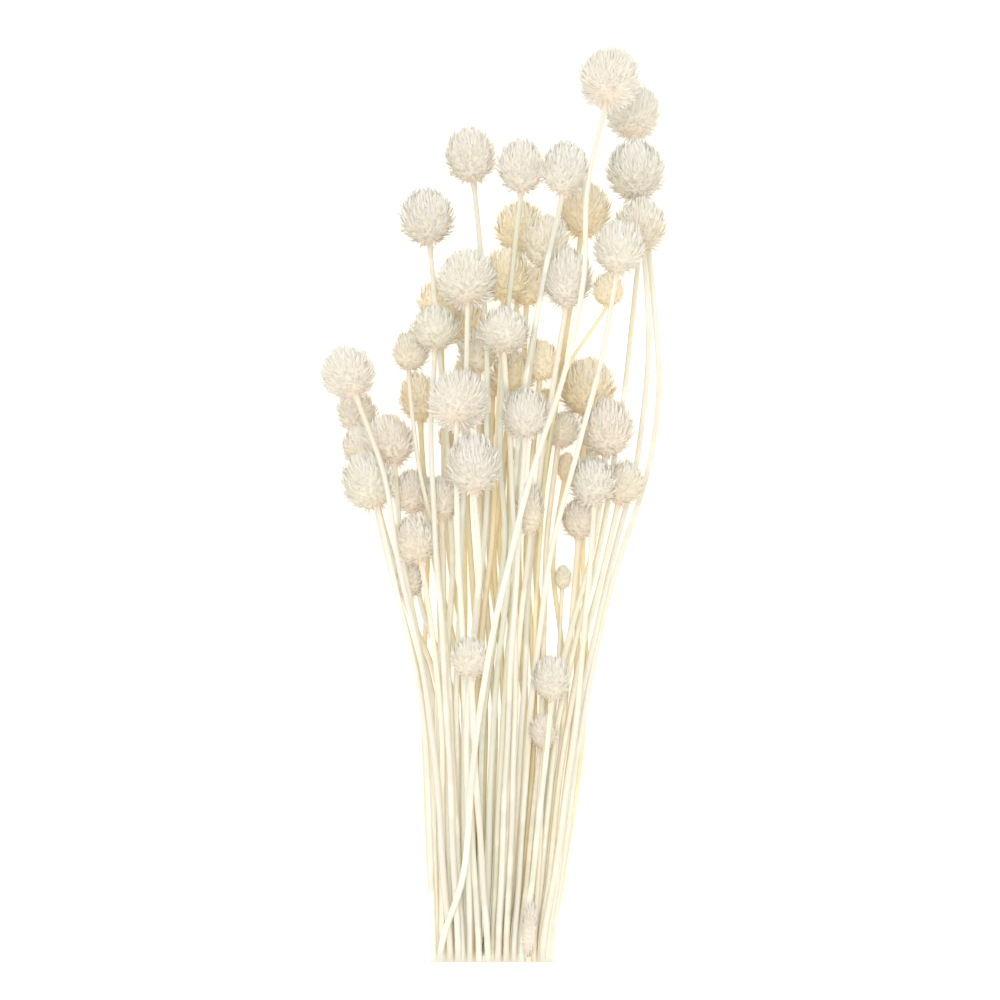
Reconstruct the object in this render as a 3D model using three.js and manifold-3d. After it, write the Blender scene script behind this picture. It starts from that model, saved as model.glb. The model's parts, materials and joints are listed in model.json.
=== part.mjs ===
// A bunch of bleached, dried teasel stems, laid down on a flat surface.
// Millimetres, +Z up. The cut ends line up across the bottom of the bunch and the heads reach towards +Y.
// Each flower stem is one solid: a long bent stem with a globe head that is covered with pointed bracts.
import * as THREE from 'three';
import { ConvexGeometry } from 'three/addons/geometries/ConvexGeometry.js';
import { mergeVertices } from 'three/addons/utils/BufferGeometryUtils.js';
import Module from 'manifold-3d';

// Driving dimensions
const bunchLength = 402;
const footRadius = 1.45;
const neckRadius = 1.15;
const restGap = 0.35;

// How a stem is cut into straight lengths, and how many sides it has
const stemSides = 6;
const stepLength = 37;
const samplesPerStep = 8;
const mergeDistance = 0.0001;

// How the stems settle: the fall in a pass, the springiness, and the pull at the two ends over that fall
const firstFall = 1.2;
const lastFall = 0.1;
const fallDecay = 0.99;
const stiffness = 0.11;
const gatheredPull = 6;
const headPull = 3;
const fallingPasses = 1800;
const liftingPasses = 300;

// How a head is shaped, as parts of its radius where nothing else is said
const coreShare = 0.7;
const neckShare = 0.84;
const rootShare = 0.4;
const shortestTip = 0.92;
const bractLean = 0.5;
const leaningFrom = 0.2;
const bractPointsPerHead = 36;
const bractPointsPerSmallHead = 22;
const smallHeadRadius = 9;
const plainTall = 1.08;
const ballSpacing = 0.35;

// The photograph's frame, in which the places below were read by eye
const cutRow = 963;
const highestRow = 49;
const middleColumn = 500;
const waistRow = 700;
const scale = bunchLength / (cutRow - highestRow);

// The columns between which the stems of the three lower layers are gathered
const cutColumns = [434, 550];
const waistColumns = [423, 586];

// The flower stems in four layers, each from the first one laid down to the last.
// stem: places along the stem, going up. head: the middle of its head. radius: half the head's width.
// tall: the head's height over its width. faces: the head's lean to the right and its rise, in degrees.
// slim: the stem's thickness over that of an ordinary stem. tone: how far the bleach took.
const lowestLayer = [
  { stem: [[428, 564]], head: [430, 512], radius: 9, tall: 1.3, slim: 0.9, tone: 'tan' },
  { stem: [[438, 564]], head: [448, 436], radius: 10, tall: 1.3, slim: 0.9, tone: 'tan' },
  { stem: [[465, 564]], head: [463, 372], radius: 10, tall: 1.3, slim: 0.9, tone: 'tan' },
  { stem: [[479, 564]], head: [489, 426], radius: 10, tall: 1.3, slim: 0.9, tone: 'tan' },
  { stem: [[490, 564]], head: [493, 386], radius: 10, tall: 1.3, slim: 0.9, tone: 'tan' },
  { stem: [[500, 564]], head: [506, 455], radius: 10, tall: 1.3, slim: 0.9, tone: 'tan' },
  { stem: [[536, 564]], head: [546, 402], radius: 10, tall: 1.3, slim: 0.9, tone: 'tan' },
  { stem: [[553, 564]], head: [566, 466], radius: 10, tall: 1.3, slim: 0.9, tone: 'tan' },
  { stem: [[583, 570]], head: [588, 455], radius: 10, tall: 1.3, slim: 0.9, tone: 'tan' },
];
const backLayer = [
  {
    stem: [[618, 564], [650, 465], [659, 375], [653, 290]],
    head: [633, 113], radius: 28, faces: [-4, -25], tone: 'ivory',
  },
  { stem: [[388, 564]], head: [357, 414], radius: 21, tone: 'blush' },
  { stem: [[535, 564], [552, 431]], head: [585, 212], radius: 27, tone: 'tan' },
  { stem: [[470, 564]], head: [466, 325], radius: 23, tone: 'tan' },
  { stem: [[508, 564]], head: [520, 229], radius: 26, tone: 'tan' },
  { stem: [[578, 564]], head: [587, 389], radius: 29, tone: 'tan' },
  { stem: [[430, 540]], head: [418, 397], radius: 19, tall: 1.25, tone: 'tan' },
  { stem: [[450, 564]], head: [440, 303], radius: 23, tone: 'tan' },
  { stem: [[414, 580]], head: [413, 493], radius: 22, tone: 'blush' },
  { stem: [[494, 564]], head: [513, 376], radius: 23, tone: 'tan' },
  { stem: [[518, 564]], head: [527, 287], radius: 20, tone: 'tan' },
  { stem: [[482, 564]], head: [478, 353], radius: 21, tone: 'blush' },
  { stem: [[394, 566]], head: [363, 448], radius: 22, tone: 'blush' },
  { stem: [[526, 564]], head: [541, 362], radius: 19, tall: 1.15, tone: 'tan' },
  { stem: [[573, 600]], head: [580, 520], radius: 20, tone: 'blush' },
  { stem: [[411, 640]], head: [408, 580], radius: 17, tone: 'blush' },
  { stem: [[560, 625]], head: [563, 577], radius: 9, tall: 1.3, slim: 0.75, tone: 'blush' },
];
const middleLayer = [
  {
    stem: [[612, 564], [642, 431], [648, 310]],
    head: [636, 172], radius: 30, faces: [-3, 10], tone: 'ivory',
  },
  {
    stem: [[483, 564], [487, 431], [484, 298]],
    head: [470, 157], radius: 26, tall: 1.15, faces: [-8, 5], tone: 'ivory',
  },
  { stem: [[452, 564], [446, 431]], head: [427, 219], radius: 28, faces: [-6, 10], tone: 'ivory' },
  { stem: [[444, 590]], head: [442, 500], radius: 21, tall: 1.15, tone: 'blush' },
  { stem: [[490, 564]], head: [505, 277], radius: 26, tone: 'tan' },
  { stem: [[596, 564], [622, 410]], head: [640, 228], radius: 27, faces: [2, -10], tone: 'blush' },
  { stem: [[403, 560]], head: [389, 443], radius: 26, faces: [-14, -15], tone: 'blush' },
  { stem: [[545, 564]], head: [562, 431], radius: 18, faces: [15, -20], tone: 'blush' },
  {
    stem: [[516, 564], [523, 431]],
    head: [546, 244], radius: 24, tall: 1.2, faces: [6, 0], tone: 'blush',
  },
  {
    stem: [[504, 564], [500, 431], [508, 310]],
    head: [521, 169], radius: 25, tall: 1.15, faces: [0, 5], tone: 'ivory',
  },
  {
    stem: [[530, 564], [546, 431]],
    head: [567, 281], radius: 26, tall: 1.2, faces: [3, 0], tone: 'ivory',
  },
  {
    stem: [[538, 564], [553, 420], [566, 372], [590, 350]],
    head: [608, 291], radius: 17, faces: [4, 0], slim: 0.7, tone: 'tan',
  },
  {
    stem: [[510, 564], [519, 431], [540, 298]],
    head: [565, 171], radius: 25, tall: 1.15, faces: [6, 5], tone: 'ivory',
  },
  { stem: [[603, 570]], head: [623, 484], radius: 22, tone: 'blush' },
  { stem: [[590, 564]], head: [607, 430], radius: 27, tall: 1.15, faces: [4, 5], tone: 'blush' },
  { stem: [[461, 564]], head: [467, 280], radius: 29, faces: [-2, -30], tone: 'ivory' },
  { stem: [[524, 590]], head: [530, 508], radius: 14, tall: 1.8, faces: [-3, 0], tone: 'blush' },
];
const frontLayer = [
  {
    stem: [[463, 963], [450, 700], [438, 564], [415, 440]],
    head: [411, 352], radius: 20, faces: [8, 0], slim: 0.8, tone: 'blush',
  },
  {
    stem: [[442, 963], [440, 700]],
    head: [416, 541], radius: 23, tall: 1.15, faces: [-14, 0], tone: 'blush',
  },
  {
    stem: [[434, 963], [421, 700], [391, 570]],
    head: [368, 484], radius: 27, tall: 1.15, faces: [-22, -10], tone: 'ivory',
  },
  { stem: [[542, 963], [578, 700]], head: [592, 483], radius: 24, faces: [-6, 15], tone: 'ivory' },
  {
    stem: [[506, 963], [515, 700], [512, 480]],
    head: [504, 332], radius: 27, tall: 0.9, faces: [0, 0], tone: 'ivory',
  },
  {
    stem: [[458, 963], [446, 700], [431, 440]],
    head: [435, 330], radius: 25, tall: 0.95, faces: [0, 0], tone: 'ivory',
  },
  {
    stem: [[479, 963], [465, 700], [456, 480]],
    head: [458, 402], radius: 30, faces: [4, -45], tone: 'ivory',
  },
  { stem: [[498, 963], [509, 700]], head: [525, 415], radius: 25, faces: [0, 15], tone: 'ivory' },
  {
    stem: [[470, 963], [468, 700], [479, 580]],
    head: [473, 466], radius: 27, tall: 1.15, faces: [-2, 5], tone: 'ivory',
  },
  {
    stem: [[450, 963], [428, 700], [399, 564], [376, 440]],
    head: [348, 375], radius: 27, faces: [-22, -25], tone: 'ivory',
  },
  { stem: [[488, 963], [474, 740]], head: [470, 659], radius: 20, faces: [-4, 0], tone: 'ivory' },
  {
    stem: [[514, 963], [532, 700], [553, 545], [583, 430], [604, 345]],
    head: [618, 250], radius: 26, faces: [4, -10], tone: 'ivory',
  },
  {
    stem: [[534, 963], [541, 820]],
    head: [543, 732], radius: 15, tall: 1.25, faces: [-6, 0], slim: 0.8, tone: 'blush',
  },
  {
    stem: [[522, 963], [538, 830]],
    head: [551, 680], radius: 20, tall: 1.2, faces: [0, 0], tone: 'ivory',
  },
  { stem: [[528, 963]], head: [529, 929], radius: 7.5, tall: 3.3, faces: [2, 0], slim: 0.8, tone: 'blush' },
  {
    stem: [[440, 963], [460, 895], [481, 700], [524, 500], [573, 340], [586, 250], [588, 180]],
    head: [609, 81], radius: 31, faces: [8, -40], tone: 'ivory',
  },
];

const tones = {
  ivory: new THREE.MeshStandardMaterial({ color: 0xf4eddf, roughness: 0.8, metalness: 0 }),
  blush: new THREE.MeshStandardMaterial({ color: 0xecdac6, roughness: 0.8, metalness: 0 }),
  tan: new THREE.MeshStandardMaterial({ color: 0xd3bb90, roughness: 0.85, metalness: 0 }),
};

const up = new THREE.Vector3(0, 0, 1);
const wasm = await Module();
wasm.setup();

// A repeatable stream of numbers from 0 to 1
function makeRandom(seed) {
  let state = seed;
  return () => {
    state = (state * 1664525 + 1013904223) % 4294967296;
    return state / 4294967296;
  };
}

// A place read in the photograph, as millimetres on the surface that the bunch lies on
function toPlan([column, row]) {
  return new THREE.Vector3((column - middleColumn) * scale, (cutRow - row) * scale, 0);
}

// The way a head points: its lean from +Y towards +X, and its rise above the surface
function headAxis(leanDegrees, riseDegrees) {
  const lean = THREE.MathUtils.degToRad(leanDegrees);
  const rise = THREE.MathUtils.degToRad(riseDegrees);
  const level = Math.cos(rise);
  return new THREE.Vector3(Math.sin(lean) * level, Math.cos(lean) * level, Math.sin(rise));
}

// A head that isn't turned goes on the way its stem comes in
function facing(flower, centre) {
  if (flower.faces) {
    return headAxis(flower.faces[0], flower.faces[1]);
  }
  const last = toPlan(flower.stem[flower.stem.length - 1]);
  return centre.clone().sub(last).normalize();
}

// A long head is spanned by several balls along its axis, a round one by a single ball
function headBalls(radius, tall) {
  const reach = Math.max(0, tall - 1) * radius;
  const count = 1 + Math.ceil(reach / (ballSpacing * radius));
  if (count === 1) {
    return [0];
  }
  return Array.from({ length: count }, (_, index) => reach * ((2 * index) / (count - 1) - 1));
}

// Shares the cut ends and the waist of a layer out evenly, in the order in which its stems fan out above
function gather(layer, inset) {
  const order = [...layer].sort((one, other) => one.stem[0][0] - other.stem[0][0]);
  return layer.map((flower) => {
    const share = (order.indexOf(flower) + inset) / (order.length - 1 + 2 * inset);
    const cutEnd = [THREE.MathUtils.lerp(...cutColumns, share), cutRow];
    const waist = [THREE.MathUtils.lerp(...waistColumns, share), waistRow];
    return { ...flower, stem: [cutEnd, waist, ...flower.stem] };
  });
}

// A stem's places seen from above, evenly spaced from its cut end to the neck under its head
function planRoute(flower, neck) {
  const curve = new THREE.CatmullRomCurve3([...flower.stem.map(toPlan), neck], false, 'centripetal');
  const route = curve.getSpacedPoints(Math.max(1, Math.round(curve.getLength() / stepLength)));
  route[0].y = 0;
  return route;
}

// The lowest height at which a round thing clears one that already lies there
function heightOver(distance, height, reach) {
  return distance < reach ? height + Math.sqrt(reach * reach - distance * distance) : -Infinity;
}

// What has been laid so far: straight lengths of stem and the balls that span the heads
const laidRods = [];
const laidBalls = [];

// The lowest height for the middle of a round thing at x, y, over everything laid so far
function clearHeight(x, y, radius, floorHeight) {
  let height = floorHeight;
  for (const ball of laidBalls) {
    const distance = Math.hypot(ball.x - x, ball.y - y);
    height = Math.max(height, heightOver(distance, ball.z, ball.radius + radius + restGap));
  }
  for (const rod of laidRods) {
    const nearest = ((x - rod.from.x) * rod.dx + (y - rod.from.y) * rod.dy) / rod.span;
    const along = THREE.MathUtils.clamp(nearest, 0, 1);
    const distance = Math.hypot(rod.from.x + along * rod.dx - x, rod.from.y + along * rod.dy - y);
    const rodRadius = THREE.MathUtils.lerp(rod.fromRadius, rod.toRadius, along);
    const reach = (rodRadius + radius + restGap) * rod.steepness;
    height = Math.max(height, heightOver(distance, rod.from.z + along * rod.dz, reach));
  }
  return height;
}

function layRod(from, to, fromRadius, toRadius) {
  const dx = to.x - from.x;
  const dy = to.y - from.y;
  const dz = to.z - from.z;
  const span = dx * dx + dy * dy;
  const steepness = Math.sqrt(1 + (dz * dz) / span);
  laidRods.push({ from, dx, dy, dz, span, steepness, fromRadius, toRadius });
}

// The lowest heights along a stem. Its own places come first, so that a stem on the surface lies flat there.
function stemBounds(places, radii) {
  const steps = places.length - 1;
  const flatShare = Math.cos(Math.PI / stemSides);
  const bounds = [];
  for (let part = 0; part < samplesPerStep; part += 1) {
    for (let at = part / samplesPerStep; at <= steps; at += 1) {
      const low = Math.min(Math.floor(at), steps - 1);
      const place = places[low].clone().lerp(places[low + 1], at - low);
      const thick = THREE.MathUtils.lerp(radii[low], radii[low + 1], at - low);
      bounds.push({ at, height: clearHeight(place.x, place.y, thick, flatShare * thick) });
    }
  }
  return bounds;
}

// Raises the heights just enough to meet every bound
function liftToBounds(heights, bounds) {
  for (const { at, height } of bounds) {
    const low = Math.min(Math.floor(at), heights.length - 2);
    const share = at - low;
    const short = height - THREE.MathUtils.lerp(heights[low], heights[low + 1], share);
    if (short > 0) {
      const weight = share * share + (1 - share) * (1 - share);
      heights[low] += (short * (1 - share)) / weight;
      heights[low + 1] += (short * share) / weight;
    }
  }
}

// Takes some of the bending out of a line of heights, as a springy stem does
function straighten(heights, amount) {
  const last = heights.length - 1;
  const bend = new Array(last + 1).fill(0);
  for (let k = 1; k < last; k += 1) {
    bend[k] = heights[k - 1] + heights[k + 1] - 2 * heights[k];
  }
  for (let k = 0; k <= last; k += 1) {
    const before = bend[k - 1] ?? 0;
    const after = bend[k + 1] ?? 0;
    heights[k] -= amount * (before + after - 2 * bend[k]);
  }
}

// Lowers a springy stem onto what lies below it until it rests. Its head pulls one end down, and the cut
// ends, which are gathered together, pull down the other.
function settle(bounds, steps) {
  const start = Math.max(...bounds.map((bound) => bound.height));
  const heights = new Array(steps + 1).fill(start);
  let fall = firstFall;
  for (let pass = 0; pass < fallingPasses; pass += 1) {
    straighten(heights, stiffness);
    for (let k = 0; k <= steps; k += 1) {
      heights[k] -= fall;
    }
    heights[0] -= gatheredPull * fall;
    heights[steps] -= headPull * fall;
    fall = Math.max(lastFall, fall * fallDecay);
    liftToBounds(heights, bounds);
  }
  for (let pass = 0; pass < liftingPasses; pass += 1) {
    liftToBounds(heights, bounds);
  }
  return heights;
}

// Finds where a flower stem lies, on top of all the earlier ones
function layFlower(flower) {
  const slim = flower.slim ?? 1;
  const tall = flower.tall ?? plainTall;
  const radius = flower.radius * scale;
  const centre = toPlan(flower.head);
  const axis = facing(flower, centre);
  const neckDrop = neckShare * radius * tall;
  const neck = centre.clone().addScaledVector(axis, -neckDrop).setZ(0);
  const places = planRoute(flower, neck);
  const steps = places.length - 1;
  const radii = places.map((_, k) => slim * THREE.MathUtils.lerp(footRadius, neckRadius, k / steps));
  const bounds = stemBounds(places, radii);
  const balls = headBalls(radius, tall);
  for (const offset of balls) {
    const ball = centre.clone().addScaledVector(axis, offset);
    const rise = (neckDrop + offset) * axis.z;
    bounds.push({ at: steps, height: clearHeight(ball.x, ball.y, radius, radius) - rise });
  }
  settle(bounds, steps).forEach((height, k) => {
    places[k].z = height;
  });
  centre.z = places[steps].z + neckDrop * axis.z;
  for (let k = 0; k < steps; k += 1) {
    layRod(places[k], places[k + 1], radii[k], radii[k + 1]);
  }
  for (const offset of balls) {
    const ball = centre.clone().addScaledVector(axis, offset);
    laidBalls.push({ x: ball.x, y: ball.y, z: ball.z, radius });
  }
  return { places, radii, centre, axis, radius, tall };
}

// A six-sided stem along its places. Its cut end is square across the bunch, with flats above and below.
function stemShape(laid) {
  const root = laid.centre.clone().addScaledVector(laid.axis, -rootShare * laid.radius);
  const places = [...laid.places, root];
  const radii = [...laid.radii, laid.radii[laid.radii.length - 1]];
  const steps = places.length - 1;
  const frames = places.map((_, k) => {
    const along = new THREE.Vector3(0, 1, 0);
    if (k > 0) {
      along.subVectors(places[Math.min(k + 1, steps)], places[k - 1]).normalize();
    }
    const side = along.clone().cross(up).normalize();
    return { side, top: side.clone().cross(along) };
  });
  const tube = new THREE.CylinderGeometry(1, 1, 1, stemSides, steps, false, Math.PI / stemSides);
  const position = tube.getAttribute('position');
  const place = new THREE.Vector3();
  for (let i = 0; i < position.count; i += 1) {
    const k = Math.round((position.getY(i) + 0.5) * steps);
    place.copy(places[k]);
    place.addScaledVector(frames[k].side, radii[k] * position.getX(i));
    place.addScaledVector(frames[k].top, radii[k] * position.getZ(i));
    position.setXYZ(i, place.x, place.y, place.z);
  }
  return tube;
}

// Points spread evenly over a ball of radius 1
function spreadPoints(count) {
  const turn = Math.PI * (3 - Math.sqrt(5));
  return Array.from({ length: count }, (_, index) => {
    const y = 1 - (2 * index + 1) / count;
    const level = Math.sqrt(1 - y * y);
    return new THREE.Vector3(level * Math.sin(turn * index), y, level * Math.cos(turn * index));
  });
}

// A bract's tip points outward, and leans on towards the top of the head except right at its base
function bractTip(outward, random) {
  const lean = bractLean * THREE.MathUtils.smoothstep(outward.y, -1, leaningFrom);
  const tip = new THREE.Vector3(outward.x, outward.y + lean, outward.z).normalize();
  return tip.multiplyScalar(THREE.MathUtils.lerp(shortestTip, 1, random()));
}

// A globe whose every face rises to the tip of a pointed bract
function headShape(laid, random) {
  const count = laid.radius < smallHeadRadius ? bractPointsPerSmallHead : bractPointsPerHead;
  const corePoints = spreadPoints(count).map((point) => point.multiplyScalar(coreShare));
  const core = new ConvexGeometry(corePoints).getAttribute('position');
  const corners = [];
  for (let i = 0; i < core.count; i += 3) {
    const face = [0, 1, 2].map((corner) => new THREE.Vector3().fromBufferAttribute(core, i + corner));
    const outward = face[0].clone().add(face[1]).add(face[2]).normalize();
    const tip = bractTip(outward, random);
    for (let corner = 0; corner < 3; corner += 1) {
      corners.push(face[corner], face[(corner + 1) % 3], tip);
    }
  }
  const shape = new THREE.BufferGeometry().setFromPoints(corners);
  const turn = new THREE.Quaternion().setFromUnitVectors(new THREE.Vector3(0, 1, 0), laid.axis);
  shape.rotateY(2 * Math.PI * random());
  shape.scale(laid.radius, laid.radius * laid.tall, laid.radius);
  shape.applyQuaternion(turn);
  shape.translate(laid.centre.x, laid.centre.y, laid.centre.z);
  return shape;
}

function toSolid(shape) {
  shape.deleteAttribute('normal');
  shape.deleteAttribute('uv');
  const merged = mergeVertices(shape, mergeDistance);
  return new wasm.Manifold(new wasm.Mesh({
    numProp: 3,
    vertProperties: merged.getAttribute('position').array,
    triVerts: new Uint32Array(merged.getIndex().array),
  }));
}

function toGeometry(solid) {
  const { vertProperties, triVerts } = solid.getMesh();
  const geometry = new THREE.BufferGeometry();
  geometry.setAttribute('position', new THREE.BufferAttribute(vertProperties, 3));
  geometry.setIndex(new THREE.BufferAttribute(triVerts, 1));
  geometry.computeVertexNormals();
  return geometry;
}

// One flower stem as a single solid, with the stem's end sunk deep in its head
function makeFlower(flower, index) {
  const laid = layFlower(flower);
  const random = makeRandom(index + 1);
  const solid = toSolid(stemShape(laid)).add(toSolid(headShape(laid, random)));
  const mesh = new THREE.Mesh(toGeometry(solid), tones[flower.tone]);
  mesh.name = `flower_stem_${String(index + 1).padStart(2, '0')}`;
  return mesh;
}

const lowerStems = [...gather(lowestLayer, 0), ...gather(backLayer, 0), ...gather(middleLayer, 0.5)];
const flowerStems = [...lowerStems, ...frontLayer];
const bunch = new THREE.Group();
flowerStems.forEach((flower, index) => bunch.add(makeFlower(flower, index)));

// The origin is under the middle of the bunch, on the surface it lies on
const middle = new THREE.Box3().setFromObject(bunch).getCenter(new THREE.Vector3());
bunch.position.set(-middle.x, -middle.y, 0);

export default bunch;
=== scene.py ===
import json
import math
import random

import bmesh
import bpy
import numpy as np
from mathutils import Matrix, Vector, geometry


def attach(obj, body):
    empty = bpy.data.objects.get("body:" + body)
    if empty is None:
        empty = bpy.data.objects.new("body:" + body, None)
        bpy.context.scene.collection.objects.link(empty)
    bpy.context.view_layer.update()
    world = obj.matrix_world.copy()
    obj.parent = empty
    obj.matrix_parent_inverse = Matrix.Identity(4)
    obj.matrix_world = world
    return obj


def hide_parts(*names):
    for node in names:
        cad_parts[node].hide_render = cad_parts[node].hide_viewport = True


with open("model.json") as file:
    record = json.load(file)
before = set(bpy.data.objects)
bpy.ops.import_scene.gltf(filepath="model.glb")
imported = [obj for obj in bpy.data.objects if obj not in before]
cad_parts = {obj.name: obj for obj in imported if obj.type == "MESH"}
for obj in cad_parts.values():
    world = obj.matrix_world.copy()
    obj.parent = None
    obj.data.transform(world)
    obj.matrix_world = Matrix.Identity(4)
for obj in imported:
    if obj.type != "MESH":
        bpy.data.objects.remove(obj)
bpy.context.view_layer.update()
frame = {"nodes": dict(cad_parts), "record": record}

print("packed bunch loaded")

hair = 0.000001  # a length too small to matter
floorGap = 0.00004  # how far every visible point stays above the surface


# A socket that maths is written with: each operator adds a Math node
class Signal:
    def __init__(self, look, socket):
        self.look = look
        self.socket = socket

    def maths(self, operation, *values):
        return self.look.add("ShaderNodeMath", {"operation": operation}, dict(enumerate(values)))

    def __add__(self, other):
        return self.maths("ADD", self, other)

    def __radd__(self, other):
        return self.maths("ADD", other, self)

    def __sub__(self, other):
        return self.maths("SUBTRACT", self, other)

    def __rsub__(self, other):
        return self.maths("SUBTRACT", other, self)

    def __mul__(self, other):
        return self.maths("MULTIPLY", self, other)

    def __rmul__(self, other):
        return self.maths("MULTIPLY", other, self)


# A material and its nodes
class Look:
    def __init__(self, name):
        self.material = bpy.data.materials.new(name)
        self.material.use_nodes = True
        self.tree = self.material.node_tree
        self.tree.nodes.clear()

    # Any node: its type, its settings, and the values or links of its sockets
    def add(self, kind, settings=None, sockets=None, output=0):
        node = self.tree.nodes.new(kind)
        for name, value in (settings or {}).items():
            if name == "stops":
                self.setStops(node.color_ramp, value)
            else:
                setattr(node, name, value)
        for key, value in (sockets or {}).items():
            if isinstance(value, Signal):
                self.tree.links.new(value.socket, node.inputs[key])
            else:
                node.inputs[key].default_value = value
        return Signal(self, node.outputs[output]) if len(node.outputs) else node

    def setStops(self, ramp, stops):
        while len(ramp.elements) < len(stops):
            ramp.elements.new(1)
        for element, (place, colour) in zip(ramp.elements, stops):
            element.position = place
            element.color = (*colour, 1)

    def attribute(self, name):
        return self.add("ShaderNodeAttribute", {"attribute_name": name}, output="Vector")

    def split(self, vector):
        node = self.add("ShaderNodeSeparateXYZ", sockets={0: vector}).socket.node
        return [Signal(self, output) for output in node.outputs]

    def join(self, x, y, z):
        return self.add("ShaderNodeCombineXYZ", sockets={0: x, 1: y, 2: z})

    # Cloudy noise, from 0 to 1
    def cloud(self, place, scale, detail=2, roughness=0.5):
        return self.add(
            "ShaderNodeTexNoise",
            sockets={"Vector": place, "Scale": scale, "Detail": detail, "Roughness": roughness},
        )

    # 0 below start, 1 above end, and a smooth rise between them
    def rise(self, value, start, end):
        settings = {"interpolation_type": "SMOOTHSTEP"}
        return self.add("ShaderNodeMapRange", settings, {0: value, 1: start, 2: end, 3: 0, 4: 1})

    # Two colours by an amount. The colour sockets of a Mix node are its seventh and eighth.
    def blend(self, amount, one, other, how="MIX"):
        settings = {"data_type": "RGBA", "blend_type": how}
        return self.add("ShaderNodeMix", settings, {0: amount, 6: one, 7: other}, output=2)

    def finish(self, shader):
        self.add("ShaderNodeOutputMaterial", sockets={"Surface": shader})
        return self.material


def opaque(colour):
    return (*colour, 1)


# How far the bleach took on each kind of flower. root, body and tip are colours along a bract, where root is
# the warm base of each bract and also painted shade on the core between the bracts; low is the lower half of
# the head, warmer and darker, partly its own colour and partly painted shade; under is its underside; neck is
# painted shade on the stem below the head; the dry stem colour also serves as painted shade on the underside
# and in the grooves of the stem; and the rest are the colours of its stem.
finishes = {
    "ivory_flower": {
        "root": (0.86, 0.79, 0.66), "body": (0.825, 0.81, 0.76), "tip": (0.825, 0.82, 0.79),
        "low": (0.84, 0.785, 0.695), "under": (0.85, 0.70, 0.59), "underShare": 0.55,
        "stem": (0.89, 0.89, 0.815), "stemDryAndShade": (0.91, 0.84, 0.65), "stemPale": (0.91, 0.925, 0.895),
        "neck": (0.80, 0.76, 0.63),
    },
    "blush_flower": {
        "root": (0.87, 0.78, 0.63), "body": (0.84, 0.80, 0.73), "tip": (0.835, 0.81, 0.765),
        "low": (0.85, 0.775, 0.67), "under": (0.86, 0.685, 0.56), "underShare": 0.55,
        "stem": (0.92, 0.89, 0.78), "stemDryAndShade": (0.93, 0.82, 0.60), "stemPale": (0.93, 0.925, 0.865),
        "neck": (0.84, 0.74, 0.60),
    },
    "tan_flower": {
        "root": (0.90, 0.745, 0.495), "body": (0.895, 0.83, 0.68), "tip": (0.90, 0.87, 0.775),
        "low": (0.90, 0.80, 0.615), "under": (0.89, 0.70, 0.46), "underShare": 0.6,
        "stem": (0.95, 0.85, 0.60), "stemDryAndShade": (0.93, 0.76, 0.44), "stemPale": (0.95, 0.90, 0.75),
        "neck": (0.88, 0.74, 0.48),
    },
}

refraction = 1.4  # of dry plant matter

bractPaper = {
    "fibresAcross": 2.6, "fibresAlong": 1.2, "fibreDepth": 0.00005, "fibreStrength": 0.4,
    "mottleScale": 140.0, "roughness": 0.62, "gloss": 0.15, "scatter": 0.15, "scatterReach": 0.0015,
    "scatterColour": (1.0, 0.75, 0.5),
    # where a bract is root, body and tip, how far each of its marks spreads, and how strong the mark is
    "ages": (0.05, 0.4, 0.9), "lowFrom": (0.45, -0.6), "lowShare": 0.65, "underFrom": (-0.62, -0.98),
    "plainFrom": (0.55, 1.3), "plainShare": 0.35, "streaksFrom": (0.42, 0.30), "streakShare": 0.12,
    # what each head's own colour is multiplied by: faintly green, plain, faintly pink
    "tints": [(0.05, (0.99, 1.0, 0.965)), (0.45, (1.0, 1.0, 1.0)), (0.95, (1.0, 0.985, 0.965))],
}


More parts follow.
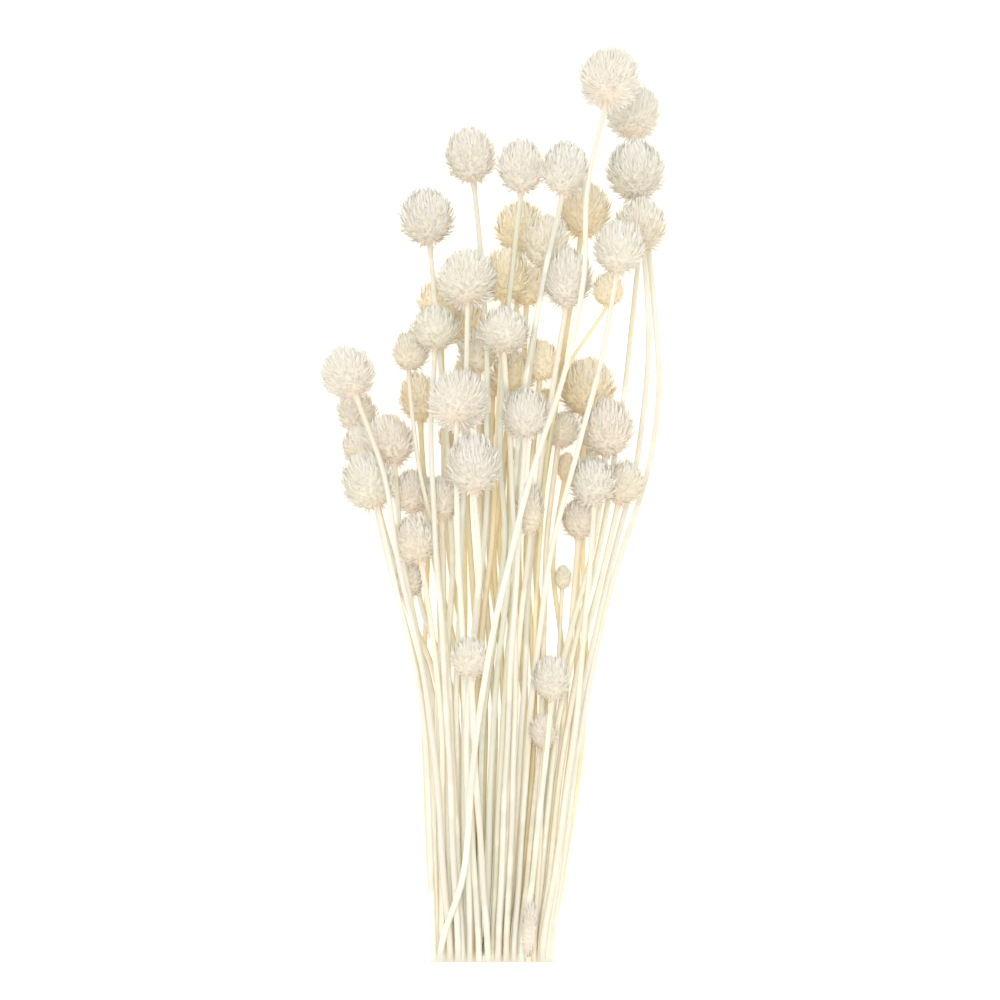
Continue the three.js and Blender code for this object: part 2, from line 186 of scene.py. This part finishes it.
# Papery bracts: fibres along each one, paler towards the tip, warmer under the head, partly their own colour
# and partly painted shade on the lower half of the head and on the core between the bracts
def makeBractLook(name, finish):
    look = Look(name)
    across, along, seed = look.split(look.attribute("bractPlace"))
    headRise, headSeed, _ = look.split(look.attribute("headPlace"))
    fibrePlace = look.join(
        across * bractPaper["fibresAcross"], along * bractPaper["fibresAlong"], seed * 60
    )
    fibres = look.cloud(fibrePlace, 1.0, 2, 0.6)
    objectPlace = look.add("ShaderNodeTexCoord", output="Object")
    mottle = look.cloud(objectPlace, bractPaper["mottleScale"], 3, 0.55)
    age = along + (fibres - 0.5) * 0.3 + (seed - 0.5) * 0.25 + (mottle - 0.5) * 0.2
    # the root colour is partly the warm base of each bract and partly painted shade deep between the bracts
    stops = list(zip(bractPaper["ages"], (finish["root"], finish["body"], finish["tip"])))
    paper = look.add("ShaderNodeValToRGB", {"stops": stops}, {0: age})
    # partly painted shade: the lower half of the head turns warmer and darker
    low = look.rise(headRise + (mottle - 0.5) * 0.5 + (seed - 0.5) * 0.5, *bractPaper["lowFrom"])
    paper = look.blend(low * bractPaper["lowShare"], paper, opaque(finish["low"]))
    warm = look.rise(headRise + (mottle - 0.5) * 0.3 + along * 0.25, *bractPaper["underFrom"])
    paper = look.blend(warm * finish["underShare"], paper, opaque(finish["under"]))
    plain = look.rise(headSeed + (mottle - 0.5) * 0.6, *bractPaper["plainFrom"])
    paper = look.blend(plain * bractPaper["plainShare"], paper, opaque(finish["body"]))
    streak = look.rise(fibres, *bractPaper["streaksFrom"])
    paper = look.blend(streak * bractPaper["streakShare"], paper, opaque(finish["root"]))
    tint = look.add("ShaderNodeValToRGB", {"stops": bractPaper["tints"]}, {0: headSeed})
    paper = look.blend(1.0, paper, tint, "MULTIPLY")
    height = fibres * look.rise(along, 0.95, 0.5)
    bump = look.add("ShaderNodeBump", sockets={
        "Strength": bractPaper["fibreStrength"], "Distance": bractPaper["fibreDepth"], "Height": height,
    })
    shader = look.add("ShaderNodeBsdfPrincipled", sockets={
        "Base Color": paper, "Roughness": (fibres - 0.5) * 0.2 + bractPaper["roughness"], "Normal": bump,
        "IOR": refraction, "Specular IOR Level": bractPaper["gloss"],
        "Subsurface Weight": bractPaper["scatter"], "Subsurface Scale": bractPaper["scatterReach"],
        "Subsurface Radius": bractPaper["scatterColour"],
    })
    return look.finish(shader)


stemSkin = {
    "ribs": 9.0, "ribDepth": 0.00018, "ribStrength": 0.55, "fibresAround": 2.6, "fibresAlong": 45.0,
    "blotchScale": 38.0, "roughness": 0.52, "gloss": 0.35,
    # how far each mark spreads over the stem, and how strong it is; the shaded, groove and neck marks are
    # painted shade
    "paleFrom": (0.42, 0.68), "dryFrom": (0.40, 0.24), "dryShare": 0.7, "shadedFrom": (0.0, -0.9),
    "shadedShare": 0.5, "grooveShadeFrom": (0.42, 0.05), "grooveShadeShare": 0.3, "neckShadeFrom": (0.82, 0.99),
    "neckShare": 0.5, "underFrom": (0.985, 1.0), "pithFrom": (0.2, 0.9),
    # what each stem's own colour is multiplied by: faintly green, plain, faintly pink, straw
    "tints": [
        (0.1, (0.975, 1.0, 0.955)), (0.4, (1.0, 1.0, 1.0)),
        (0.7, (1.0, 0.97, 0.95)), (0.95, (1.0, 0.975, 0.92)),
    ],
}


# Stem skin: fine lengthwise ribs and fibres, dry blotches, painted shade on its underside and in its grooves, a
# browner neck that is painted shade below the head, and a pithy cut end
def makeStemLook(name, finish):
    look = Look(name)
    side, top, metres = look.split(look.attribute("stemPlace"))
    share, seed, pith = look.split(look.attribute("stemMark"))
    fibrePlace = look.join(
        side * stemSkin["fibresAround"] + seed * 50, top * stemSkin["fibresAround"],
        metres * stemSkin["fibresAlong"],
    )
    fibres = look.cloud(fibrePlace, 1.6, 3, 0.6)
    blotchPlace = look.join(side * 0.5 + seed * 90, top * 0.5, metres * stemSkin["blotchScale"])
    blotches = look.cloud(blotchPlace, 1.0, 3, 0.55)
    angle = look.add("ShaderNodeMath", {"operation": "ARCTAN2"}, {0: top, 1: side})
    wave = angle * stemSkin["ribs"] + (fibres - 0.5) * 3.0 + metres * 9
    ribs = look.add("ShaderNodeMath", {"operation": "SINE"}, {0: wave}) * 0.5 + 0.5
    pale = look.rise(blotches + (fibres - 0.5) * 0.4, *stemSkin["paleFrom"])
    skin = look.blend(pale, opaque(finish["stem"]), opaque(finish["stemPale"]))
    dry = look.rise(blotches + share * -0.06, *stemSkin["dryFrom"])
    skin = look.blend(dry * stemSkin["dryShare"], skin, opaque(finish["stemDryAndShade"]))
    # painted shade: the underside and lower sides of each stem darkened towards the dry colour
    shaded = look.rise(top + (blotches - 0.5) * 0.8, *stemSkin["shadedFrom"])
    skin = look.blend(shaded * stemSkin["shadedShare"], skin, opaque(finish["stemDryAndShade"]))
    # painted shade: the grooves between the ribs darkened towards the dry colour
    grooveShade = look.rise(ribs + (fibres - 0.5) * 0.5, *stemSkin["grooveShadeFrom"])
    skin = look.blend(grooveShade * stemSkin["grooveShadeShare"], skin, opaque(finish["stemDryAndShade"]))
    tint = look.add("ShaderNodeValToRGB", {"stops": stemSkin["tints"]}, {0: seed})
    skin = look.blend(1.0, skin, tint, "MULTIPLY")
    # painted shade: the stem darker just below the head
    neckShade = look.rise(share + (blotches - 0.5) * 0.1, *stemSkin["neckShadeFrom"])
    skin = look.blend(neckShade * stemSkin["neckShare"], skin, opaque(finish["neck"]))
    neck = look.rise(share, *stemSkin["underFrom"])
    skin = look.blend(neck * finish["underShare"], skin, opaque(finish["under"]))
    skin = look.blend(look.rise(pith, *stemSkin["pithFrom"]), skin, opaque(finish["stemPale"]))
    bump = look.add("ShaderNodeBump", sockets={
        "Strength": stemSkin["ribStrength"], "Distance": stemSkin["ribDepth"],
        "Height": ribs * 0.6 + fibres * 0.8,
    })
    shader = look.add("ShaderNodeBsdfPrincipled", sockets={
        "Base Color": skin, "Roughness": (fibres - 0.5) * 0.3 + stemSkin["roughness"], "Normal": bump,
        "IOR": refraction, "Specular IOR Level": stemSkin["gloss"],
    })
    return look.finish(shader)


looks = {
    slot: (makeStemLook(slot + "_stem", finish), makeBractLook(slot + "_bracts", finish))
    for slot, finish in finishes.items()
}
print("materials made")


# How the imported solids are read. The first three are shares of the head's radius or height, as in the solids.
solidCut = {
    "corePoints": 0.7, "neck": 0.84, "stemEnd": 0.4, "endTaper": 0.96, "perMetre": 1000,
    "stemSides": 6, "widestRing": 0.0025, "fewestCoreEdges": 8,
    "mergeDistance": 0.000002, "fitTolerance": 0.01,
}


# The globe through the core points of a solid head: its middle, its radius, its height and its direction.
# The fit is made in millimetres, which keeps its terms near 1.
def readHead(corePoints, below):
    perMetre = solidCut["perMetre"]
    points = np.array(corePoints, float) * perMetre
    middle = points.mean(0)
    while True:
        x, y, z = (points - middle).T
        terms = np.stack([x * x, y * y, z * z, 2 * x * y, 2 * x * z, 2 * y * z, 2 * x, 2 * y, 2 * z], 1)
        fit = np.linalg.lstsq(terms, np.ones(len(points)), rcond=None)[0]
        off = np.abs(terms @ fit - 1)
        if off.max() < solidCut["fitTolerance"]:
            break
        points = np.delete(points, off.argmax(), 0)  # where the stem cuts the core
    form = np.array([[fit[0], fit[3], fit[4]], [fit[3], fit[1], fit[5]], [fit[4], fit[5], fit[2]]])
    shift = -np.linalg.solve(form, fit[6:])
    spread, ways = np.linalg.eigh(form / (1 + shift @ form @ shift))
    radii = 1 / np.sqrt(spread) / perMetre / solidCut["corePoints"]
    odd = 0 if abs(radii[0] - radii[1]) > abs(radii[1] - radii[2]) else 2
    centre = Vector((middle + shift) / perMetre)
    axis = Vector(ways[:, odd]).normalized()
    if axis.dot(centre - below) < 0:
        axis.negate()
    return {"centre": centre, "axis": axis, "radius": float(radii[1]), "height": float(radii[odd])}


# Reads a packed flower stem back into the line of its stem and the globe of its head
def readFlower(node):
    solid = bmesh.new()
    solid.from_mesh(frame["nodes"][node].data)
    bmesh.ops.remove_doubles(solid, verts=solid.verts[:], dist=solidCut["mergeDistance"])
    lowest = min(vert.co.y for vert in solid.verts)
    ring = {vert for vert in solid.verts if vert.co.y < lowest + hair}
    seen = set(ring)
    line, radii = [], []
    while True:
        middle = sum((vert.co for vert in ring), Vector()) / len(ring)
        reach = max((vert.co - middle).length for vert in ring)
        if reach > solidCut["widestRing"]:
            break
        line.append(middle)
        radii.append(reach)
        ring = {edge.other_vert(vert) for vert in ring for edge in vert.link_edges} - seen
        if len(ring) != solidCut["stemSides"]:
            break
        seen |= ring
    rest = [vert for vert in solid.verts if vert not in seen]
    cores = [vert.co[:] for vert in rest if len(vert.link_edges) >= solidCut["fewestCoreEdges"]]
    flower = readHead(cores, line[-1])
    solid.free()
    neck = flower["centre"] - flower["axis"] * flower["height"] * solidCut["neck"]
    end = flower["centre"] - flower["axis"] * flower["radius"] * solidCut["stemEnd"]
    flower["line"] = [*line, neck, end]
    flower["radii"] = [*radii, *[radii[-1] * solidCut["endTaper"]] * 2]
    return flower


# Where the parts of a flower lie on its own map: a column for the stem, its cut end below that, a strip for
# the core of the head, and a cell for each bract. Each pair is a start and a length.
bakeMap = {
    "stemWidth": 0.036, "capHeight": 0.03, "coreHeight": 0.06, "cellAspect": 3.0, "cellFill": 0.88,
    "stemSpan": (0.06, 0.88), "stemRise": (0.005, 0.99), "capReach": 0.4, "coreSpan": (0.02, 0.3),
    "coreRise": (0.95, -0.85), "cellRise": (0.02, 0.94),
}

stemForm = {
    "sides": 14, "spacing": 0.0055, "lineSpacing": 0.002, "fullness": 0.97,
    # hollows round a dried stem: their depth, how many to a turn, and how they twist along it
    "hollows": 0.055, "ridges": (3, 5), "twists": (14.0, -9.0), "secondShare": 0.5,
    "waver": 0.00022, "waverPitches": (95, 78), "flareAt": 0.001, "flareLength": 0.004, "flare": 0.45,
    "rimShare": 0.12, "pithRimShare": 0.4, "pithDepth": 0.0003,
}


# A smooth line through the places of a stem, which leaves its cut end square across the bunch
def smoothLine(places, spacing):
    last = len(places) - 1
    headings = [Vector((0, 1, 0))]
    for k in range(1, last + 1):
        headings.append((places[min(k + 1, last)] - places[k - 1]).normalized())
    line = []
    for k in range(last):
        reach = (places[k + 1] - places[k]).length / 3
        handles = places[k] + headings[k] * reach, places[k + 1] - headings[k + 1] * reach
        count = max(2, round(3 * reach / spacing))
        line.extend(geometry.interpolate_bezier(places[k], *handles, places[k + 1], count + 1)[:-1])
    return np.array([*line, places[last]])


def makeStem(bm, layers, flower, rng):
    line = smoothLine(flower["line"], stemForm["lineSpacing"])
    steps = np.linalg.norm(np.diff(line, axis=0), axis=1)
    reached = np.concatenate([[0], np.cumsum(steps)])
    length = float(reached[-1])
    marks = [float(reached[np.abs(line - np.array(place)).sum(1).argmin()]) for place in flower["line"]]
    neckMark = marks[-2]
    ringCount = round(length / stemForm["spacing"])
    phases = [rng.uniform(0, 2 * math.pi) for _ in range(4)]
    seed = rng.random()
    sides, near = stemForm["sides"], stemForm["lineSpacing"]

    def placeAt(distance):
        return Vector([float(np.interp(distance, reached, line[:, k])) for k in range(3)])

    def frameAt(distance):
        place = placeAt(distance)
        heading = Vector((0, 1, 0))
        if distance > hair:
            heading = (placeAt(distance + near) - placeAt(distance - near)).normalized()
        side = heading.cross(Vector((0, 0, 1))).normalized()
        top = side.cross(heading)
        calm = math.sin(math.pi * min(1, distance / neckMark))
        for way, pitch, phase in zip((side, top), stemForm["waverPitches"], phases):
            place += way * (stemForm["waver"] * calm * math.sin(pitch * distance + phase))
        flare = max(0, 1 - abs(neckMark + stemForm["flareAt"] - distance) / stemForm["flareLength"])
        thick = float(np.interp(distance, marks, flower["radii"])) * stemForm["fullness"]
        thick *= 1 + stemForm["flare"] * flare * flare
        turn = Matrix((side, top, heading)).transposed().to_4x4()
        return Matrix.Translation(place) @ turn @ Matrix.Diagonal((thick, thick, thick, 1))

    made = bmesh.ops.create_circle(bm, cap_ends=True, segments=sides, radius=1)
    ring = made["verts"]
    face = ring[0].link_faces[0]
    before = frameAt(0)
    bmesh.ops.transform(bm, matrix=before, verts=ring)
    columns = {vert: k for k, vert in enumerate(face.verts)}
    levels = []

    def markRing(ring, distance):
        for vert in ring:
            angle = 2 * math.pi * columns[vert] / sides
            vert[layers["stemPlace"]] = (math.cos(angle), math.sin(angle), distance)
            vert[layers["stemMark"]] = (distance / neckMark, seed, 0)
            first, second = [
                math.sin(ridges * angle + twist * distance + phase)
                for ridges, twist, phase in zip(stemForm["ridges"], stemForm["twists"], phases[2:])
            ]
            hollow = first + stemForm["secondShare"] * second
            levels.append((vert, 1 + stemForm["hollows"] * hollow, distance))

    markRing(list(face.verts), 0)
    centres = {0: before.translation.copy()}
    for k in range(1, ringCount + 1):
        distance = length * k / ringCount
        after = frameAt(distance)
        ringBefore = set(face.verts)
        grown = bmesh.ops.extrude_face_region(bm, geom=[face])["geom"]
        face = next(item for item in grown if isinstance(item, bmesh.types.BMFace))
        newVerts = [item for item in grown if isinstance(item, bmesh.types.BMVert)]
        carryOn(columns, newVerts, ringBefore)
        bmesh.ops.transform(bm, matrix=after @ before.inverted(), verts=newVerts)
        before = after
        centres[distance] = after.translation.copy()
        markRing(newVerts, distance)
    for vert, swell, distance in levels:  # the shrunken, slightly grooved section of a dried stem
        centre = centres[distance]
        vert.co = centre + (vert.co - centre) * swell
        vert.co.z = max(vert.co.z, floorGap)
    column, row = bakeMap["stemWidth"], bakeMap["capHeight"]
    (left, across), (foot, rise) = bakeMap["stemSpan"], bakeMap["stemRise"]
    uv = layers["uv"]
    for f in bm.faces:
        turns = [columns[vert] for vert in f.verts]
        wraps = len(turns) == 4 and max(turns) - min(turns) == sides - 1
        for loop, turn in zip(f.loops, turns):
            turn = sides if wraps and turn == 0 else turn
            share = loop.vert[layers["stemPlace"]].z / length
            loop[uv].uv = (column * (left + across * turn / sides), row + (1 - row) * (foot + rise * share))
    bmesh.ops.recalc_face_normals(bm, faces=bm.faces[:])
    makeCutEnd(bm, layers, flower["radii"][0], centres[0], seed)


# The cut end: a rim of skin, a pale ring, and a sunk middle of pith
def makeCutEnd(bm, layers, thick, centre, seed):
    def isCut(f):
        return all(vert[layers["stemPlace"]].z < hair for vert in f.verts)

    cut = next(f for f in bm.faces if isCut(f))
    bmesh.ops.inset_region(bm, faces=[cut], thickness=stemForm["rimShare"] * thick)
    pithRim = stemForm["pithRimShare"] * thick
    bmesh.ops.inset_region(bm, faces=[cut], thickness=pithRim, depth=-stemForm["pithDepth"])
    for vert in cut.verts:
        vert[layers["stemMark"]] = (0, seed, 1)
    for f in filter(isCut, bm.faces):
        for loop in f.loops:
            offset = loop.vert.co - centre
            loop[layers["uv"]].uv = (
                bakeMap["stemWidth"] * (0.5 + bakeMap["capReach"] * offset.x / thick),
                bakeMap["capHeight"] * (0.5 + bakeMap["capReach"] * offset.z / thick),
            )


bractForm = {
    "shapes": 10,
    # along the bract, half the width, half the thickness: the width as a share of the bract's width, and
    # the other two as shares of its length
    "stations": [(0.0, 0.42, 0.022), (0.38, 0.48, 0.024), (0.74, 0.24, 0.012)],
    "bow": (0.09, 0.19), "curl": (0.02, 0.16), "sway": 0.25, "twist": 0.25, "widths": (0.92, 1.08),
}


# One bract, a unit long and a unit wide: a keeled, pointed blade that bows out, and whose tip bends outward
# again. Each shape is a little different.
def makeBractShape(number):
    rng = random.Random(number)
    bm = bmesh.new()
    layers = addLayers(bm)
    bow = rng.uniform(*bractForm["bow"])
    curl = rng.uniform(*bractForm["curl"])
    sway = rng.uniform(-1, 1) * bractForm["sway"]
    twist = rng.uniform(-1, 1) * bractForm["twist"]

    # The bow is greatest halfway along, and the curl at the tip
    def frameAt(share, width, thick):
        out = bow * 4 * share * (1 - share) + curl * max(0, share - 0.5) ** 2 * 4
        place = Matrix.Translation((sway * share * share, out, share))
        return place @ Matrix.Rotation(twist * share, 4, "Z") @ Matrix.Diagonal((width, thick, 1, 1))

    ring = bmesh.ops.create_circle(bm, cap_ends=True, segments=3, radius=1)["verts"]
    face = ring[0].link_faces[0]
    edgeSide = {vert: round(vert.co.x / 0.866) for vert in ring}  # 0 on the keel, -1 and 1 along the edges
    before = Matrix.Identity(4)
    for k, (share, width, thick) in enumerate(bractForm["stations"]):
        after = frameAt(share, width * rng.uniform(*bractForm["widths"]), thick)
        if k > 0:
            ringBefore = set(face.verts)
            grown = bmesh.ops.extrude_face_region(bm, geom=[face])["geom"]
            face = next(item for item in grown if isinstance(item, bmesh.types.BMFace))
            ring = [item for item in grown if isinstance(item, bmesh.types.BMVert)]
            carryOn(edgeSide, ring, ringBefore)
        bmesh.ops.transform(bm, matrix=after @ before.inverted(), verts=ring)
        before = after
        for vert in ring:
            vert[layers["bractPlace"]] = (edgeSide[vert], share, 0)
    ringBefore = set(face.verts)
    grown = bmesh.ops.extrude_face_region(bm, geom=[face])["geom"]
    peak = [item for item in grown if isinstance(item, bmesh.types.BMVert)]
    carryOn(edgeSide, peak, ringBefore)
    for vert in peak:
        vert[layers["bractPlace"]] = (edgeSide[vert], 1, 0)
    uv = layers["uv"]
    # The two outer faces lie on the left half of the bract's cell, the inner one on its last quarter
    for f in bm.faces:
        sides = {edgeSide[vert] for vert in f.verts}
        for loop in f.loops:
            side = edgeSide[loop.vert]
            across = 0.25 * (side + 1) if 0 in sides else 0.75 + 0.125 * (side + 1)
            loop[uv].uv = (across, 0.04 + 0.96 * loop.vert[layers["bractPlace"]].y)
        if len(sides) == 3:  # the buried root
            for loop, spot in zip(f.loops, ((0, 0), (0.2, 0), (0.1, 0.03))):
                loop[uv].uv = spot
        f.material_index = 1
    bmesh.ops.pointmerge(bm, verts=peak, merge_co=frameAt(1.0, 1, 1).translation)
    max(bm.verts, key=lambda vert: vert.co.z)[layers["bractPlace"]] = (0, 1, 0)
    bmesh.ops.recalc_face_normals(bm, faces=bm.faces[:])
    mesh = bpy.data.meshes.new(f"bract_shape_{number}")
    bm.to_mesh(mesh)
    bm.free()
    return mesh


# Gives each new point of an extruded ring the mark of the point that it grew from
def carryOn(marks, ring, ringBefore):
    for vert in ring:
        marks[vert] = next(marks[other] for other in neighbours(vert) if other in ringBefore)


def neighbours(vert):
    return [edge.other_vert(vert) for edge in vert.link_edges]


def addLayers(bm):
    layers = {name: bm.verts.layers.float_vector.new(name) for name in
              ("stemPlace", "stemMark", "bractPlace", "headPlace")}
    layers["uv"] = bm.loops.layers.uv.new("OFBake")
    return layers


headForm = {
    "core": 0.84, "pitch": 0.00126, "pitchShare": 0.7, "neckGap": -0.99, "jitter": 0.6, "ordinary": 0.0105,
    "root": 0.75, "sweep": (0.22, 0.54), "shortest": 0.89, "longest": 1.12, "crown": 0.02, "width": 0.00145,
    "widths": (0.75, 1.25), "tipSwing": 0.12, "leastTipShare": 0.3, "roll": 0.18, "leastTurn": 0.15,
    "tallSweep": 1.2, "coreShadeAlong": 0.12,
    # how the area of a head follows from its height: a fixed share, and one that grows with the height
    "areaShares": (0.35, 0.65),
    # rows of small scales where the head meets the stem: how many, slope and reach of root and of tip
    "cup": [(8, 2.98, 0.72, 2.62, 0.82), (12, 2.78, 0.70, 2.38, 0.88), (15, 2.56, 0.68, 2.12, 0.92)],
    "cupWidth": 0.0016, "cupWidths": (0.8, 1.2), "cupShift": 0.25, "cupTilt": 0.1, "cupReaches": (0.95, 1.05),
}
bractShapes = [makeBractShape(number) for number in range(bractForm["shapes"])]
print("bract shapes made")


# Where the bracts of a head go, as roots and tips on a ball of radius 1 that points up. Each bract sweeps
# from its root towards the top of the head.
def bractPlaces(count, sweepShare, fineness, rng):
    places = []
    golden = math.pi * (3 - math.sqrt(5))
    spacing = math.sqrt(4 * math.pi / count)
    for k in range(count):
        rise = 1 - (2 * k + 1) / count
        if rise < headForm["neckGap"]:
            continue
        slope = math.acos(rise) + rng.uniform(-0.5, 0.5) * headForm["jitter"] * spacing
        angle = golden * k + rng.uniform(-0.5, 0.5) * headForm["jitter"] * spacing
        sweep = rng.uniform(*headForm["sweep"]) * sweepShare * math.sqrt(max(0, math.sin(slope)))
        tipSlope = max(headForm["leastTipShare"] * slope, slope - sweep)
        reach = rng.uniform(headForm["shortest"], headForm["longest"]) + headForm["crown"] * max(0, rise)
        outward = aroundTop(angle, slope)
        swing = rng.uniform(-headForm["tipSwing"], headForm["tipSwing"])
        tip = aroundTop(angle + swing, tipSlope) * reach
        width = headForm["width"] * fineness * rng.uniform(*headForm["widths"])
        places.append((outward * headForm["root"], tip, outward, width))
    for count, rootSlope, rootReach, tipSlope, tipReach in headForm["cup"]:
        for k in range(count):
            angle = 2 * math.pi * (k + rng.uniform(-headForm["cupShift"], headForm["cupShift"])) / count
            outward = aroundTop(angle, rootSlope)
            tilt = rng.uniform(-headForm["cupTilt"], headForm["cupTilt"])
            tip = aroundTop(angle, tipSlope + tilt) * tipReach * rng.uniform(*headForm["cupReaches"])
            width = headForm["cupWidth"] * fineness * rng.uniform(*headForm["cupWidths"])
            places.append((outward * rootReach, tip, outward, width))
    return places


def aroundTop(angle, slope):
    level = math.sin(slope)
    return Vector((level * math.cos(angle), level * math.sin(angle), math.cos(slope)))


def makeHead(bm, layers, flower, rng):
    radius, height = flower["radius"], flower["height"]
    stretch = Matrix.Diagonal((radius, radius, height, 1))
    spin = Matrix.Rotation(rng.uniform(0, 2 * math.pi), 4, "Z")
    turn = Vector((0, 0, 1)).rotation_difference(flower["axis"]).to_matrix().to_4x4()
    toPlace = Matrix.Translation(flower["centre"]) @ turn @ spin
    headSeed = rng.random()
    share = headForm["pitchShare"]
    fixed, growing = headForm["areaShares"]
    area = 4 * math.pi * (share * radius) ** 2 * (fixed + growing * height / radius)
    fineness = min(1, math.sqrt(radius / headForm["ordinary"]))  # a small bud has smaller bracts
    count = round(area / (headForm["pitch"] * fineness) ** 2)
    sweepShare = min(1, headForm["tallSweep"] * radius / height)
    places = bractPlaces(count, sweepShare, fineness, rng)
    columns = math.ceil(math.sqrt(len(places) * bakeMap["cellAspect"]))
    rows = math.ceil(len(places) / columns)
    cellWidth = (1 - bakeMap["stemWidth"]) / columns
    cellHeight = (1 - bakeMap["coreHeight"]) / rows
    uv = layers["uv"]
    (coreLeft, coreAcross), (coreFoot, coreRise) = bakeMap["coreSpan"], bakeMap["coreRise"]
    cellFoot, cellRise = bakeMap["cellRise"]

    made = bmesh.ops.create_icosphere(bm, subdivisions=3, radius=headForm["core"], calc_uvs=True)
    core = made["verts"]
    for vert in core:
        # the core takes the root colour: painted shade in the gaps between the bracts
        vert[layers["bractPlace"]] = (0, headForm["coreShadeAlong"], headSeed)
        vert[layers["headPlace"]] = (vert.co.z / headForm["core"], headSeed, 0)
    bmesh.ops.transform(bm, matrix=toPlace @ stretch, verts=core)
    for f in {f for vert in core for f in vert.link_faces}:
        f.smooth = True
        f.material_index = 1
        for loop in f.loops:
            spot = loop[uv].uv
            across = coreLeft + coreAcross * spot.x
            down = bakeMap["coreHeight"] * (coreFoot + coreRise * spot.y)
            loop[uv].uv = (bakeMap["stemWidth"] + across, 1 - down)

    for k, (root, tip, outward, width) in enumerate(places):
        start, end = stretch @ root, stretch @ tip
        heading = end - start
        length = heading.length
        heading.normalize()
        face = outward - heading * outward.dot(heading)
        if face.length < headForm["leastTurn"]:  # a bract that points straight out may face any way
            face = heading.cross(Vector((math.cos(k), math.sin(k), 0.3)))
        face.normalize()
        side = face.cross(heading)
        blade = Matrix((side, face, heading)).transposed().to_4x4()
        roll = rng.uniform(-headForm["roll"], headForm["roll"])
        blade = Matrix.Translation(start) @ blade @ Matrix.Rotation(roll, 4, "Z")
        blade = toPlace @ blade @ Matrix.Diagonal((width, length, length, 1))
        firstVert, firstFace = len(bm.verts), len(bm.faces)
        bm.from_mesh(bractShapes[rng.randrange(bractForm["shapes"])])
        bm.verts.ensure_lookup_table()
        bm.faces.ensure_lookup_table()
        verts = bm.verts[firstVert:]
        bmesh.ops.transform(bm, matrix=blade, verts=verts)
        for vert in verts:  # a head that lies on the table is pressed flat there
            vert.co.z = max(vert.co.z, floorGap)
        seed = rng.random()
        for vert in verts:
            across, along, _ = vert[layers["bractPlace"]]
            vert[layers["bractPlace"]] = (across, along, seed)
            vert[layers["headPlace"]] = (outward.z, headSeed, 0)
        column, row = k % columns, k // columns
        left = bakeMap["stemWidth"] + cellWidth * column
        foot = cellHeight * row
        fill = bakeMap["cellFill"]
        for f in bm.faces[firstFace:]:
            for loop in f.loops:
                spot = loop[uv].uv
                up = cellHeight * (cellFoot + cellRise * spot.y)
                loop[uv].uv = (left + cellWidth * fill * spot.x, foot + up)


def makeFlower(node, slot):
    rng = random.Random(node)
    flower = readFlower(node)
    bm = bmesh.new()
    layers = addLayers(bm)
    makeStem(bm, layers, flower, rng)
    for f in bm.faces:
        f.smooth = True
        f.material_index = 0
    makeHead(bm, layers, flower, rng)
    mesh = bpy.data.meshes.new(node.replace("flower_stem", "flower"))
    bm.to_mesh(mesh)
    bm.free()
    for material in looks[slot]:
        mesh.materials.append(material)
    piece = bpy.data.objects.new(mesh.name, mesh)
    bpy.context.scene.collection.objects.link(piece)
    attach(piece, "root")
    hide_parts(node)
    return piece


slots = {part["node"]: part["material_slot"] for part in frame["record"]["subparts"]}
flowers = [makeFlower(node, slots[node]) for node in sorted(frame["nodes"])]
for mesh in bractShapes:
    bpy.data.meshes.remove(mesh)
print("flowers made:", len(flowers), "with", sum(len(piece.data.polygons) for piece in flowers), "faces")


# The pale surface that the bunch lies on, a dome of soft light, and a large lamp near the camera
studio = {
    "floorSize": 40.0, "floorColour": (0.93, 0.92, 0.88), "floorGlow": 0.45,
    "dome": 0.80, "domeColour": (1.0, 0.97, 0.905),
    "key": 67.0, "keySize": 0.9, "keyPlace": (-0.08, 0.14, 3.8),
}


def makeFloor():
    look = Look("pale_floor")
    shader = look.add("ShaderNodeBsdfPrincipled", sockets={
        "Base Color": opaque(studio["floorColour"]), "Roughness": 0.9, "Specular IOR Level": 0.1,
        "Emission Color": (1, 1, 1, 1), "Emission Strength": studio["floorGlow"],
    })
    bm = bmesh.new()
    bmesh.ops.create_grid(bm, x_segments=1, y_segments=1, size=studio["floorSize"] / 2)
    mesh = bpy.data.meshes.new("floor")
    bm.to_mesh(mesh)
    bm.free()
    mesh.materials.append(look.finish(shader))
    floor = bpy.data.objects.new("floor", mesh)
    bpy.context.scene.collection.objects.link(floor)


def makeStudio():
    scene = bpy.context.scene
    scene.world = bpy.data.worlds.new("studio")
    scene.world.use_nodes = True
    background = scene.world.node_tree.nodes["Background"]
    background.inputs["Color"].default_value = opaque(studio["domeColour"])
    background.inputs["Strength"].default_value = studio["dome"]
    lamp = bpy.data.lights.new("key", "AREA")
    lamp.energy = studio["key"]
    lamp.size = studio["keySize"]
    key = bpy.data.objects.new("key", lamp)
    key.location = studio["keyPlace"]
    key.rotation_euler = (Vector((0, 0, 0)) - Vector(studio["keyPlace"])).to_track_quat("-Z", "Y").to_euler()
    scene.collection.objects.link(key)
    scene.view_settings.view_transform = "Standard"


# Straight above the bunch, far enough away that it looks flat on, as in the photograph
camera = {
    "distance": 20.0, "middleHeight": 0.04, "frameWidth": 0.4398, "aim": (0.00264, 0.00267),
    "sensor": 36.0, "farthest": 100,
}


def makeCamera():
    lens = bpy.data.cameras.new("camera")
    lens.sensor_width = camera["sensor"]
    lens.lens = camera["sensor"] * (camera["distance"] - camera["middleHeight"]) / camera["frameWidth"]
    lens.clip_end = camera["farthest"]
    viewer = bpy.data.objects.new("camera", lens)
    viewer.location = (*camera["aim"], camera["distance"])
    bpy.context.scene.collection.objects.link(viewer)
    bpy.context.scene.camera = viewer


makeFloor()
makeStudio()
makeCamera()
print("floor, light and camera made")
